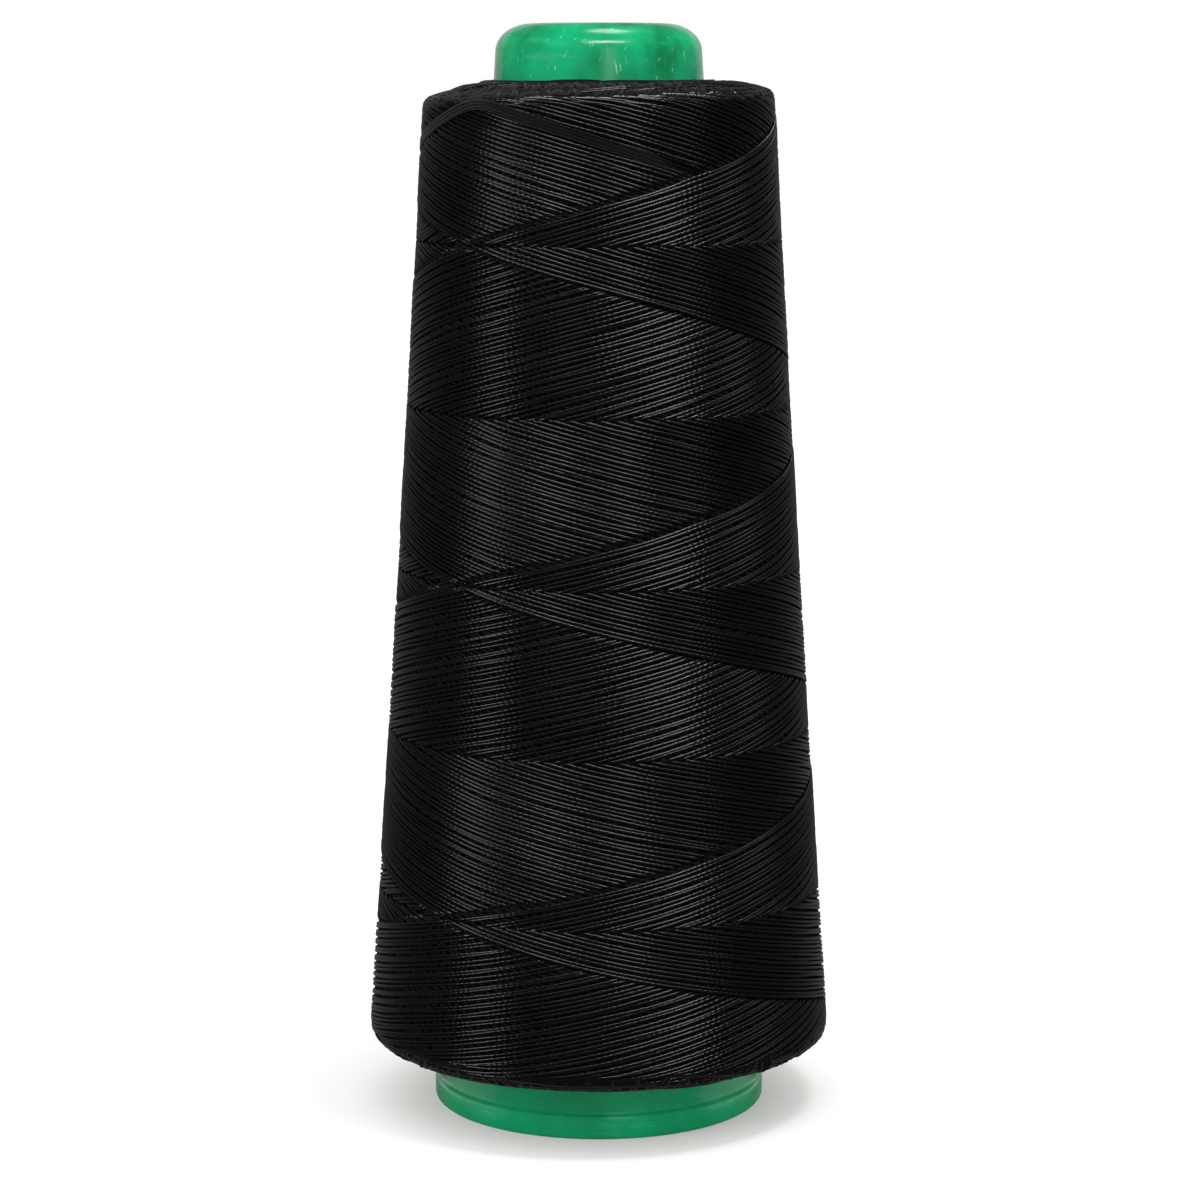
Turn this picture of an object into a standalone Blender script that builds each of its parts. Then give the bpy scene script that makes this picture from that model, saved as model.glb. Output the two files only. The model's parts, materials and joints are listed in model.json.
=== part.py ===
"""A cone of sewing thread: a hollow plastic cone and the thread that is cross-wound on it.

Units are metres and +Z is up. The origin is the centre of the cone's base rim, on the
surface that it stands on. The front of the package faces -Y, and angles round the axis are
counted from there towards +X.
"""

import math

import bmesh
import bpy

MM = 0.001

# Plastic cone, with a half angle of 3 degrees 30 minutes
CONE_HEIGHT = 170.0 * MM
CONE_BASE_RADIUS = 26.1 * MM
CONE_TAPER = math.tan(math.radians(3.5))
CONE_WALL = 1.6 * MM
CONE_STEPS = 56

# Foot band round the base
FOOT_RADIUS = 26.3 * MM
FOOT_HEIGHT = 3.9 * MM
FOOT_BEVEL = 0.3 * MM
FOOT_ROUND = 0.8 * MM
RIM_CHAMFER = 0.3 * MM

# Rounded top of the cone, turned in to a round hole
LIP_ROUND = 4.3 * MM
LIP_THICKNESS = 1.8 * MM
LIP_HOLE_RADIUS = 9.5 * MM

# Wound thread: its outside, the crossing of its threads, and its two end faces
BORE_GAP = 0.3 * MM
WINDING_BASE_RADIUS = 37.6 * MM
WINDING_TAPER = 0.0649
WINDING_WAIST = 0.25 * MM
WINDING_MIDDLE = 85.0 * MM
WINDING_HALF_HEIGHT = 73.0 * MM
WINDING_COLUMNS = 56
LEAD = 51.0 * MM
CROSSING_HEIGHT = 86.0 * MM
CROSSING_ANGLE = math.radians(-45.0)
LAYER_RELIEF = 0.4 * MM
BUNCHES_PER_TURN = 7
BUNCH_RELIEF = 0.3 * MM
LOWEST_ROW = -80
HIGHEST_ROW = 79
TOP_ROUND = 1.7 * MM
TOP_FACE_HEIGHT = 161.6 * MM
BOTTOM_ROUND = 3.2 * MM
BOTTOM_FACE_HEIGHT = 9.8 * MM
FACE_RINGS = 3
FACE_DOME_POWER = 1.5

# Fineness of the rounded edges
ARC_STEPS = 4
LIP_ARC_STEPS = 8
HOLE_ARC_STEPS = 6
SEAM_MERGE = 0.01 * MM

# Colours and finish
GREEN = (0.010, 0.330, 0.130)
GREEN_ROUGHNESS = 0.35
BLACK = (0.008, 0.008, 0.009)
BLACK_ROUGHNESS = 0.50


def clear_scene():
    for obj in list(bpy.data.objects):
        bpy.data.objects.remove(obj, do_unlink=True)


def make_material(name, colour, roughness, metallic=0.0):
    material = bpy.data.materials.new(name)
    material.use_nodes = True
    shader = material.node_tree.nodes["Principled BSDF"]
    shader.inputs["Base Color"].default_value = (*colour, 1.0)
    shader.inputs["Roughness"].default_value = roughness
    shader.inputs["Metallic"].default_value = metallic
    return material


def add_object(name, mesh, material):
    mesh.materials.append(material)
    mesh.shade_smooth()
    obj = bpy.data.objects.new(name, mesh)
    bpy.context.scene.collection.objects.link(obj)
    return obj


def arc(centre_radius, centre_height, size, start, end, steps=ARC_STEPS):
    """Points (radius, height) on a circular arc, with its angles in degrees from outward."""
    points = []
    for step in range(steps + 1):
        angle = math.radians(start + (end - start) * step / steps)
        points.append((centre_radius + size * math.cos(angle), centre_height + size * math.sin(angle)))
    return points


def cone_radius(height):
    """Outer radius of the plastic cone's straight wall."""
    return CONE_BASE_RADIUS - CONE_TAPER * height


def cone_profile():
    """Closed section of the hollow cone, from its crest down the outside and up the inside."""
    round_height = CONE_HEIGHT - LIP_ROUND
    crest_radius = cone_radius(round_height) - LIP_ROUND
    inner_round = LIP_ROUND - LIP_THICKNESS
    hole_round = LIP_THICKNESS / 2
    hole_centre = LIP_HOLE_RADIUS + hole_round
    outer_lip = arc(crest_radius, round_height, LIP_ROUND, 90.0, 0.0, LIP_ARC_STEPS)
    foot_top = [
        (cone_radius(FOOT_HEIGHT), FOOT_HEIGHT),
        (FOOT_RADIUS, FOOT_HEIGHT - FOOT_BEVEL),
    ]
    foot_round = arc(FOOT_RADIUS - FOOT_ROUND, FOOT_ROUND, FOOT_ROUND, 0.0, -90.0)
    inner_rim = [
        (CONE_BASE_RADIUS - CONE_WALL + RIM_CHAMFER, 0.0),
        (CONE_BASE_RADIUS - CONE_WALL, RIM_CHAMFER),
    ]
    inner_lip = arc(crest_radius, round_height, inner_round, 0.0, 90.0)
    hole_edge = arc(hole_centre, CONE_HEIGHT - hole_round, hole_round, 270.0, 90.0, HOLE_ARC_STEPS)
    return outer_lip + foot_top + foot_round + inner_rim + inner_lip + hole_edge


def make_core(material):
    """The plastic cone: its section turned round Z by a Screw modifier."""
    profile = cone_profile()
    mesh = bpy.data.meshes.new("core")
    points = [(radius, 0.0, height) for radius, height in profile]
    edges = [(index, (index + 1) % len(points)) for index in range(len(points))]
    mesh.from_pydata(points, edges, [])
    core = add_object("core", mesh, material)
    screw = core.modifiers.new("Turned", "SCREW")
    screw.axis = "Z"
    screw.angle = math.tau
    screw.steps = CONE_STEPS
    screw.render_steps = CONE_STEPS
    screw.use_merge_vertices = True
    screw.merge_threshold = SEAM_MERGE
    screw.use_smooth_shade = True
    return core


def winding_radius(height):
    """Radius of the package at its newest threads, drawn in slightly at mid height."""
    from_middle = (height - WINDING_MIDDLE) / WINDING_HALF_HEIGHT
    waist = WINDING_WAIST * (1.0 - from_middle**2)
    return WINDING_BASE_RADIUS - WINDING_TAPER * height - waist


def row_height(row):
    return CROSSING_HEIGHT + row * LEAD / WINDING_COLUMNS


def layer_depth(row, column):
    """How far the surface lies below the newest threads.

    Rising and falling threads each advance round the package as they are wound. At a point
    the newer of the two lies on top, so its age in turns sets the depth. The age jumps back
    to zero at the ledge along the last thread of each direction. Bunches of neighbouring
    threads stand up a little as ridges along whichever direction is on top.
    """
    rising_age = ((column - row) % WINDING_COLUMNS) / WINDING_COLUMNS
    falling_age = ((column + row) % WINDING_COLUMNS) / WINDING_COLUMNS
    newest_age = min(rising_age, falling_age)
    between_bunches = 0.5 - 0.5 * math.cos(math.tau * BUNCHES_PER_TURN * newest_age)
    return LAYER_RELIEF * newest_age + BUNCH_RELIEF * between_bunches


def face_rings(edge_radius, edge_height, edge_round, face_height, inner_radius):
    """Rings (radius, height) from a rounded edge along a slightly domed end face to the bore."""
    side = 1.0 if face_height > edge_height else -1.0
    centre_radius = edge_radius - edge_round
    rise_left = abs(face_height - edge_height) - edge_round
    tilt = math.degrees(math.atan2(rise_left, centre_radius - inner_radius))
    edge = arc(centre_radius, edge_height, edge_round, 0.0, side * (90.0 - tilt))[1:]
    last_radius, last_height = edge[-1]
    rings = list(edge)
    for ring in range(1, FACE_RINGS + 1):
        share = ring / FACE_RINGS
        radius = last_radius + (inner_radius - last_radius) * share
        dome = 1.0 - (1.0 - share) ** FACE_DOME_POWER
        rings.append((radius, last_height + (face_height - last_height) * dome))
    return rings


def ring_of_points(body, radius, height, row, relief_share):
    """A full ring of vertices, one in each column, pressed in by a share of the layers' relief."""
    ring = {}
    for column in range(WINDING_COLUMNS):
        angle = CROSSING_ANGLE + column * math.tau / WINDING_COLUMNS
        here = radius - relief_share * layer_depth(row, column)
        ring[column] = body.verts.new((here * math.sin(angle), -here * math.cos(angle), height))
    return ring


def cross_wound_side(body):
    """The side, in diamonds whose edges run along the rising and the falling threads."""
    rows = {}
    for row in range(LOWEST_ROW, HIGHEST_ROW + 1):
        height = row_height(row)
        whole_row = row in (LOWEST_ROW, HIGHEST_ROW)
        rows[row] = {}
        for column in range(WINDING_COLUMNS):
            if (row + column) % 2 and not whole_row:
                continue
            angle = CROSSING_ANGLE + column * math.tau / WINDING_COLUMNS
            radius = winding_radius(height) - layer_depth(row, column)
            place = (radius * math.sin(angle), -radius * math.cos(angle), height)
            rows[row][column] = body.verts.new(place)
    for row in range(LOWEST_ROW, HIGHEST_ROW + 1):
        for column in range(WINDING_COLUMNS):
            if (row + column) % 2 == 0:
                continue
            left = rows[row][(column - 1) % WINDING_COLUMNS]
            right = rows[row][(column + 1) % WINDING_COLUMNS]
            below = rows.get(row - 1, rows[row])[column]
            above = rows.get(row + 1, rows[row])[column]
            body.faces.new((left, below, above))
            body.faces.new((right, above, below))
    return rows[LOWEST_ROW], rows[HIGHEST_ROW]


def join_rings(body, first, second):
    for column in range(WINDING_COLUMNS):
        following = (column + 1) % WINDING_COLUMNS
        body.faces.new((first[column], first[following], second[following], second[column]))


def end_face(body, edge_ring, row, edge_round, face_height):
    """Closes one end from the side's edge ring to the bore, and returns the bore's ring."""
    height = row_height(row)
    inner_radius = cone_radius(face_height) + BORE_GAP
    rings = face_rings(winding_radius(height), height, edge_round, face_height, inner_radius)
    previous = edge_ring
    for index, (radius, ring_height) in enumerate(rings):
        relief_share = 1.0 - (index + 1) / len(rings)
        ring = ring_of_points(body, radius, ring_height, row, relief_share)
        join_rings(body, previous, ring)
        previous = ring
    return previous


def make_winding(material):
    """The wound thread as one solid ring round the cone, with its crossing bands in relief."""
    body = bmesh.new()
    lowest_ring, highest_ring = cross_wound_side(body)
    top_bore = end_face(body, highest_ring, HIGHEST_ROW, TOP_ROUND, TOP_FACE_HEIGHT)
    bottom_bore = end_face(body, lowest_ring, LOWEST_ROW, BOTTOM_ROUND, BOTTOM_FACE_HEIGHT)
    join_rings(body, top_bore, bottom_bore)
    bmesh.ops.recalc_face_normals(body, faces=body.faces)
    mesh = bpy.data.meshes.new("winding")
    body.to_mesh(mesh)
    body.free()
    return add_object("winding", mesh, material)


def main():
    clear_scene()
    green_plastic = make_material("green_plastic", GREEN, GREEN_ROUGHNESS)
    black_thread = make_material("black_thread", BLACK, BLACK_ROUGHNESS)
    make_core(green_plastic)
    make_winding(black_thread)


main()
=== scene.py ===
"""Looks of a cone of black sewing thread on its green plastic cone, dressed over its solids.

Metres, +Z up, origin at the centre of the base rim. The front faces -Y. Angles round the axis
start at the front and grow towards +X. A place on the package is given by its angle and its
"way": the height on the side, carried on as a length over the rounded edges and the end faces.
"""

import json
import math

import bpy
import numpy as np
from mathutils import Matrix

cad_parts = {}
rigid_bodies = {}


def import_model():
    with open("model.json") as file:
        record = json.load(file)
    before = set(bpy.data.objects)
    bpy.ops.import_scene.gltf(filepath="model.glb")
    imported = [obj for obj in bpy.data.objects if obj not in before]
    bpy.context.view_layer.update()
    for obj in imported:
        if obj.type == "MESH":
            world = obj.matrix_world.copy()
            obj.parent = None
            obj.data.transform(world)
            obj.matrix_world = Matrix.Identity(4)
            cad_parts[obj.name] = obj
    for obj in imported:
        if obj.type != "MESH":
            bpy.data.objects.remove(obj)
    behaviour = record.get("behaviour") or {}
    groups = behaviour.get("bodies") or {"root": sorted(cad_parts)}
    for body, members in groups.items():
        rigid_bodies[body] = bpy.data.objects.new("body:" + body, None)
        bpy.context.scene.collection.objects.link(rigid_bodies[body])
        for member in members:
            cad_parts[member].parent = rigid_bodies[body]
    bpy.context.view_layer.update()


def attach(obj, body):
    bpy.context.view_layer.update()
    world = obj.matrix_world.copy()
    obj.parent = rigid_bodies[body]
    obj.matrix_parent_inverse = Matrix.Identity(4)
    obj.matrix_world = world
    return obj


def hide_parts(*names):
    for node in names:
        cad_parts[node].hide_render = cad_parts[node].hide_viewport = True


MM = 0.001
TAU = math.tau

# Camera: focal length, horizon and the cone's axis in pixels of the 1200 pixel frame, and the
# rest in metres, but for the sensor, which is in millimetres
FRAME_PIXELS = 1200
FOCAL_PIXELS = 3400.0
HORIZON_ROW = 80.0
AXIS_COLUMN = 598.8
CAMERA_DISTANCE = 531.1 * MM
CAMERA_HEIGHT = 161.4 * MM
SENSOR_WIDTH = 36.0
CLIP_START = 0.01
CLIP_END = 50.0

# Package of thread: its side, drawn in slightly at mid height, and its two end faces
PACKAGE_RADIUS = 37.6 * MM
PACKAGE_TAPER = 0.0649
PACKAGE_WAIST = 0.25 * MM
PACKAGE_MIDDLE = 85.0 * MM
PACKAGE_HALF_HEIGHT = 73.0 * MM
SIDE_BOTTOM = 13.1 * MM
SIDE_TOP = 157.9 * MM
TOP_ROUND = 1.7 * MM
TOP_FACE_HEIGHT = 161.6 * MM
BOTTOM_ROUND = 3.2 * MM
BOTTOM_FACE_HEIGHT = 9.8 * MM
CORE_GAP = 0.3 * MM
DOME_POWER = 1.5
SIDE_POINTS = 40
EDGE_STEPS = 10
FACE_STEPS = 12

# Lean of the upper end: where it sets in, over what length, and its rise on the right
LEAN_FROM = 148.0 * MM
LEAN_SPAN = 8.0 * MM
LEAN_RISE = 0.6 * MM

# Crossing of the threads of each direction, and how unevenly they lie. The pair shift and the
# spacing's jitter are in spacings, and the crossing lines are counted in half leads.
THREADS = 76
LEAD = 51.0 * MM
CROSSING_HEIGHT = 86.0 * MM
CROSSING_ANGLE = math.radians(-45.0)
CROSSING_LINES = range(-3, 4)
LAYER_RELIEF = 0.15 * MM
PAIR_SHIFT = 0.12
SPACING_JITTER = 0.09
DEPTH_JITTER = 0.03 * MM
WOBBLE = 0.14 * MM
WOBBLE_WAVES = 3
WAVES_PER_TURN = (2.0, 14.0)

# One thread: its size, the distances between the points of its path, and the sides of its tube
THREAD_RADIUS = 0.28 * MM
THREAD_STEP = 2.6 * MM
LOWER_STEP = 3.4 * MM
THREAD_SIDES = 7
LOWER_SIDES = 6
THREAD_UNEVENNESS = 0.07
LOWER_DEPTH = 2.3 * THREAD_RADIUS

# Dips of a thread: under its like at a crossing line, and under the newest thread at a ledge
CROSSING_DIP = 0.48 * MM
CROSSING_DIP_BEFORE = 0.8 * MM
CROSSING_DIP_AFTER = 1.2 * MM
LEDGE_DIP_BEFORE = 0.65 * MM
LEDGE_OVERLAP = 0.9 * MM
LEAST_LEDGE_DIP = 0.14 * MM

# Closer points near the ends of a run, where it dips
FINE_STRETCH = 1.8 * MM
FINE_STEP = 0.62 * MM
LEAST_FINE_RUN = 2.5 * FINE_STRETCH
LEAST_POINTS = 4

# Turning back at the two ends
TURN_SOFTNESS = 0.7 * MM
TURN_REACH = (0.2 * MM, 2.0 * MM)

# Level turns over the ends, each tucked in at both of its own ends. Their lengths vary as
# shares of the usual one.
END_TURN_START = 0.9 * MM
END_TURN_STOP = 0.25 * MM
END_TURN_MARGIN = 0.2 * MM
END_TURN_PITCH = 0.45 * MM
END_TURN_STEP = 1.5 * MM
END_TURN_POINTS = 6
END_TURN_LENGTH = 16.0 * MM
END_TURN_LENGTHS = (0.6, 1.5)
END_TURN_OVERLAP = 1.35
END_TURN_JITTER = 0.15 * MM
END_TURN_SLANT = 0.05
END_TURN_BOW = (0.1 * MM, 0.5 * MM)
END_TURN_SINK = 0.25 * MM
END_TURN_TUCK = 0.6 * MM

# Rings of short strokes over the ends: how many, how far past the edge of the side, and length
UPPER_STROKES = ((420, 3.0 * MM, 4.2 * MM), (330, 6.6 * MM, 4.4 * MM))
LOWER_STROKES = ((150, 2.0 * MM, 3.2 * MM),)
STROKE_POINTS = 7
STROKE_SHIFT = (-0.5 * MM, 0.7 * MM)
STROKE_LENGTHS = (0.7, 1.3)
STROKE_LEAN = 0.4
STROKE_SPREAD = 0.3
STROKE_DEPTH_JITTER = 0.1 * MM
STROKE_TUCK = 0.5 * MM

# Loose turns on the upper end: start angle, start way, end angle, end way, with the angles in
# degrees
SHOULDER_TURNS = (
    (-9.0, 160.5 * MM, 13.0, 162.1 * MM),
    (-7.0, 161.6 * MM, 15.0, 163.2 * MM),
    (9.0, 161.3 * MM, 60.0, 163.5 * MM),
    (27.0, 162.7 * MM, 76.0, 161.2 * MM),
    (-64.0, 164.2 * MM, -36.0, 165.9 * MM),
)
SHOULDER_TURN_DEPTH = 0.05 * MM
SHOULDER_TURN_TUCK = 0.8 * MM
SHOULDER_TURN_POINTS = 14

# Last turn of the winding, near the top on the left: three threads side by side, with the
# angles of its bend and its two ends in degrees
LAST_TURN_PEAK = 158.9 * MM
LAST_TURN_ANGLE = -42.0
LAST_TURN_START = -150.0
LAST_TURN_END = 34.0
LAST_TURN_STEP = 3.0
LAST_TURN_CLIMB = 0.155 * MM
LAST_TURN_ROUND = 0.8 * MM
LAST_TURN_OFFSETS = (-0.55 * MM, 0.0, 0.55 * MM)
LAST_TURN_DEPTH = 0.28 * MM
LAST_TURN_TUCK = 4.0 * THREAD_RADIUS
LAST_TURN_PRESS = 0.5 * MM
LAST_TURN_HALF_WIDTH = 1.0 * MM

# Hollow in the package under the bend of the last turn, with its half width in degrees
HOLLOW_DEPTH = 0.45 * MM
HOLLOW_BELOW_PEAK = 2.6 * MM
HOLLOW_HALF_WIDTH = 10.0
HOLLOW_HALF_HEIGHT = 1.0 * MM

# Plastic cone
CONE_HEIGHT = 170.0 * MM
CONE_BASE_RADIUS = 26.1 * MM
CONE_TAPER = math.tan(math.radians(3.5))
CONE_WALL = 1.6 * MM
FOOT_RADIUS = 26.3 * MM
FOOT_HEIGHT = 3.9 * MM
FOOT_ROUND = 0.8 * MM
WALL_END = FOOT_HEIGHT + 1.0 * MM
RIM_ROUND = 0.3 * MM
LIP_ROUND = 4.3 * MM
LIP_CROWN = 5.5 * MM
LIP_THICKNESS = 1.8 * MM
LIP_HOLE_RADIUS = 9.5 * MM
CONE_STEPS = 144
WALL_POINTS = 30
CROWN_STEPS = 16
FOOT_STEPS = 6
RIM_STEPS = 3
LIP_STEPS = 8
HOLE_STEPS = 10
SHARP_ANGLE = math.radians(50.0)

# Dark body of wound thread under the outer threads
BED_DEPTH = 1.15 * MM
BED_END_DEPTH = 0.70 * MM
BED_STEPS = 96

# Thread: its twist, its blacks, and roughness, gloss and fuzz as wound smooth and as chafed.
# Here and for the plastic, a pattern's waves or cells are counted to the metre.
PLY_PITCH = 0.95 * MM
PLY_RELIEF = 0.010 * MM
PLY_STRENGTH = 0.9
FIBRE_WAVES = (2600.0, 2600.0, 2600.0)
FIBRE_SHARE = 0.4
PATCH_WAVES = (90.0, 90.0, 90.0)
THREAD_BLACKS = ((0.30, (0.0012, 0.0012, 0.0013)), (0.70, (0.0022, 0.0022, 0.0023)))
SMOOTH_FINISH = (0.22, 0.34, 0.0)
CHAFED_FINISH = (0.40, 0.0, 0.070)
FUZZ_ROUGHNESS = 0.5
STREAK_WAVES = (300.0, 300.0, 2400.0)
STREAK_RELIEF = 0.1 * MM
STREAK_STRENGTH = 1.0
INNER_BLACKS = ((0.35, (0.0015, 0.0015, 0.0016)), (0.65, (0.0030, 0.0030, 0.0032)))
INNER_ROUGHNESS = 0.7
INNER_GLOSS = 0.2

# Greens of the plastic, its clouds with their place in the noise, and how evenly green it is
# towards the base
PLASTIC_DARK = (0.0, 0.158, 0.054)
PLASTIC_GREEN = (0.0002, 0.255, 0.097)
PLASTIC_LIGHT = (0.0010, 0.320, 0.130)
PLASTIC_MILKY = (0.0250, 0.370, 0.195)
PLASTIC_SCRATCH = (0.3000, 0.5500, 0.4200)
CLOUD_STOPS = ((0.36, PLASTIC_DARK), (0.50, PLASTIC_GREEN), (0.64, PLASTIC_LIGHT))
CLOUD_WAVES = (120.0, 120.0, 70.0)
CLOUDS_PLACE = (0.40083, 0.14083, 0.39000)
LOW_ON_CONE = 20.0 * MM
HIGH_ON_CONE = 150.0 * MM
EVEN_SHARE = 0.6

# Milky smears, and painted shade on the wall between the foot band and the thread, darker where
# the winding overhangs it
SMEAR_WAVES = (90.0, 90.0, 420.0)
SMEAR_LEVELS = (0.56, 0.76)
SMEAR_SHARE = 0.60
PAINTED_SHADE_EDGE = (3.6 * MM, 4.6 * MM)
PAINTED_SHADE_SHARE = 0.75

# Flecks and lint: fineness, size in parts of a cell, and their band, with the heights between
# which they set in and their least and most share. Lint is drawn out along a lean.
FLECK_CELLS = 520.0
FLECK_SIZE = 0.13
FLECK_BAND = (166.0 * MM, 163.5 * MM, 0.03, 0.22)
LINT_CELLS = 1300.0
LINT_SIZE = 0.26
LINT_BAND = (164.6 * MM, 163.2 * MM, 0.0, 0.5)
LINT_LEAN = 0.7
LINT_DRAWN_OUT = (1.0, 1.0, 0.35)

# Scratches: lean, waves, and the levels of the noise between which they show. A lean is an
# angle from upright in radians.
UPRIGHT_SCRATCHES = (0.15, (2300.0, 2300.0, 240.0), 0.70, 0.76)
LEANING_SCRATCHES = (-0.55, (2500.0, 2500.0, 280.0), 0.71, 0.76)

# How strongly flecks, lint and scratches show low and high on the cone
MARKS_LOW = 0.10
MARKS_HIGH = 0.50

# Surface of the plastic: its grain, with two levels of it and the roughness that they give, and
# its fine turned lines, into which the marks are sunk
GRAIN_WAVES = (700.0, 700.0, 1500.0)
GRAIN_LEVELS = (0.3, 0.7, 0.15, 0.24)
SMEAR_ROUGHNESS = 0.18
TURNED_WAVES = (25.0, 25.0, 2600.0)
TURNED_SHARE = 0.5
MARK_SHARE = -0.8
PLASTIC_RELIEF = 0.020 * MM
PLASTIC_STRENGTH = 0.6
PLASTIC_SHEEN = 0.30
PLASTIC_SHEEN_ROUGHNESS = 0.18

# Stage. Each soft light has its direction, distance, width and depth, brightness, and what it
# lights: the wound thread (of the side alone, where rising and falling), the cone or the floor
FLOOR_REACH = 6.0
FLOOR_WHITE = (0.700, 0.688, 0.682)
FLOOR_GLOW = (0.200, 0.191, 0.189)
FLOOR_ROUGHNESS = 0.9
ROOM_WHITE = 1.5
MIRRORED_ROOM = 0.07
MIRRORED_BACKDROP = 0.15
BACKDROP_EDGE = (0.35, 0.80)
BACKDROP_WHITE = 1.0
LIGHT_TARGET = (0.0, 0.0, 0.085)
SOFT_LIGHTS = {
    "key_middle": ((-0.02, -0.30, 0.95), 0.8, (0.28, 0.14), 27.0, ("thread",)),
    "key_right": ((0.43, -0.60, 0.67), 0.8, (0.26, 0.14), 23.0, ("thread",)),
    "overhead_right": ((0.25, -0.10, 0.96), 0.8, (0.14, 0.14), 27.0, ("thread", "floor")),
    "side_right": ((0.71, -0.04, 0.70), 0.8, (0.28, 0.18), 4.5, ("thread",)),
    "fill_left": ((-0.43, -0.25, 0.87), 0.8, (0.28, 0.18), 3.8, ("thread",)),
    "side_left": ((-0.89, -0.43, 0.14), 0.9, (0.30, 0.16), 16.5, ("thread", "floor")),
    "back_left": ((-0.12, 0.42, 0.90), 0.8, (0.28, 0.14), 24.0, ("rising", "falling")),
    "back_right": ((0.20, 0.56, 0.80), 0.8, (0.26, 0.14), 18.0, ("rising", "falling")),
    "cone_strip": ((0.11, -0.63, 0.77), 0.8, (0.46, 0.06), 24.0, ("plastic",)),
    "cone_overhead": ((0.08, 0.17, 0.98), 0.8, (0.22, 0.24), 7.0, ("plastic",)),
    "cone_front": ((0.20, -0.95, 0.21), 0.8, (0.16, 0.30), 1.5, ("plastic",)),
    "base_left": ((-0.93, 0.34, -0.16), 0.8, (1.00, 0.30), 0.7, ("plastic",)),
    "base_right": ((0.93, 0.34, -0.16), 0.8, (1.00, 0.30), 0.7, ("plastic",)),
    "cone_behind": ((0.00, 0.99, 0.10), 1.5, (3.00, 1.20), 0.32, ("plastic",)),
}

SEED = 17


# ---------------------------------------------------------------- sections


def arc(centre_radius, centre_height, size, start, end, steps):
    """Points (radius, height) on a circular arc, with its angles in degrees from outward."""
    angles = np.radians(np.linspace(start, end, steps + 1))
    return np.column_stack(
        (centre_radius + size * np.cos(angles), centre_height + size * np.sin(angles))
    )


def cone_radius(height):
    return CONE_BASE_RADIUS - CONE_TAPER * height


def side_radius(height):
    from_middle = (height - PACKAGE_MIDDLE) / PACKAGE_HALF_HEIGHT
    waist = PACKAGE_WAIST * (1.0 - from_middle**2)
    return PACKAGE_RADIUS - PACKAGE_TAPER * height - waist


def end_section(edge_height, edge_round, face_height):
    """Points (radius, height) from the edge of the side over the round to the bore."""
    upward = 1.0 if face_height > edge_height else -1.0
    edge_radius = side_radius(edge_height)
    bore_radius = cone_radius(face_height) + CORE_GAP
    centre_radius = edge_radius - edge_round
    rise_left = abs(face_height - edge_height) - edge_round
    tilt = math.degrees(math.atan2(rise_left, centre_radius - bore_radius))
    edge = arc(centre_radius, edge_height, edge_round, 0.0, upward * (90.0 - tilt), EDGE_STEPS)
    share = np.linspace(0.0, 1.0, FACE_STEPS + 1)[1:]
    last_radius, last_height = edge[-1]
    radius = last_radius + (bore_radius - last_radius) * share
    height = last_height + (face_height - last_height) * (1.0 - (1.0 - share) ** DOME_POWER)
    return np.vstack((edge, np.column_stack((radius, height))))


def lengths_along(points):
    steps = np.linalg.norm(np.diff(points, axis=0), axis=1)
    return np.concatenate(([0.0], np.cumsum(steps)))


class PackageSurface:
    """The outside of the package: its section by way, with outward directions."""

    def __init__(self):
        top = end_section(SIDE_TOP, TOP_ROUND, TOP_FACE_HEIGHT)
        bottom = end_section(SIDE_BOTTOM, BOTTOM_ROUND, BOTTOM_FACE_HEIGHT)
        heights = np.linspace(SIDE_BOTTOM, SIDE_TOP, SIDE_POINTS)[1:-1]
        side = np.column_stack((side_radius(heights), heights))
        section = np.vstack((bottom[::-1], side, top))
        self.way = np.concatenate(
            (
                SIDE_BOTTOM - lengths_along(bottom)[::-1],
                heights,
                SIDE_TOP + lengths_along(top),
            )
        )
        self.section = section
        slope = np.gradient(section, self.way, axis=0)
        slope /= np.linalg.norm(slope, axis=1)[:, None]
        self.outward = np.column_stack((slope[:, 1], -slope[:, 0]))

    def radius(self, way):
        return np.interp(way, self.way, self.section[:, 0])

    def lean(self, way):
        """How much higher the package is on its right than in the middle, near its upper end."""
        leaning = smooth((way - LEAN_FROM) / LEAN_SPAN) * smooth((self.way[-1] - way) / LEAN_SPAN)
        return LEAN_RISE * leaning

    def points(self, way, angle, depth):
        """Points at a way and an angle, this far under the surface."""
        out_radius = np.interp(way, self.way, self.outward[:, 0])
        out_height = np.interp(way, self.way, self.outward[:, 1])
        radius = self.radius(way) - depth * out_radius
        height = np.interp(way, self.way, self.section[:, 1]) - depth * out_height
        height = height + self.lean(way) * np.sin(angle)
        return np.column_stack((radius * np.sin(angle), -radius * np.cos(angle), height))


# ---------------------------------------------------------------- thread paths


def smooth(share):
    share = np.clip(share, 0.0, 1.0)
    return share * share * (3.0 - 2.0 * share)


def soft_limit(way, lowest, highest):
    """The way, bent level where it nears the turning points at the two ends."""
    way = highest - TURN_SOFTNESS * np.logaddexp(0.0, (highest - way) / TURN_SOFTNESS)
    return lowest + TURN_SOFTNESS * np.logaddexp(0.0, (way - lowest) / TURN_SOFTNESS)


def crossing_way(line):
    """Way of a crossing line, counted in half leads from the middle one."""
    return CROSSING_HEIGHT + line * LEAD / 2.0


def turns_at(way):
    return (way - CROSSING_HEIGHT) / LEAD


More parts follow.
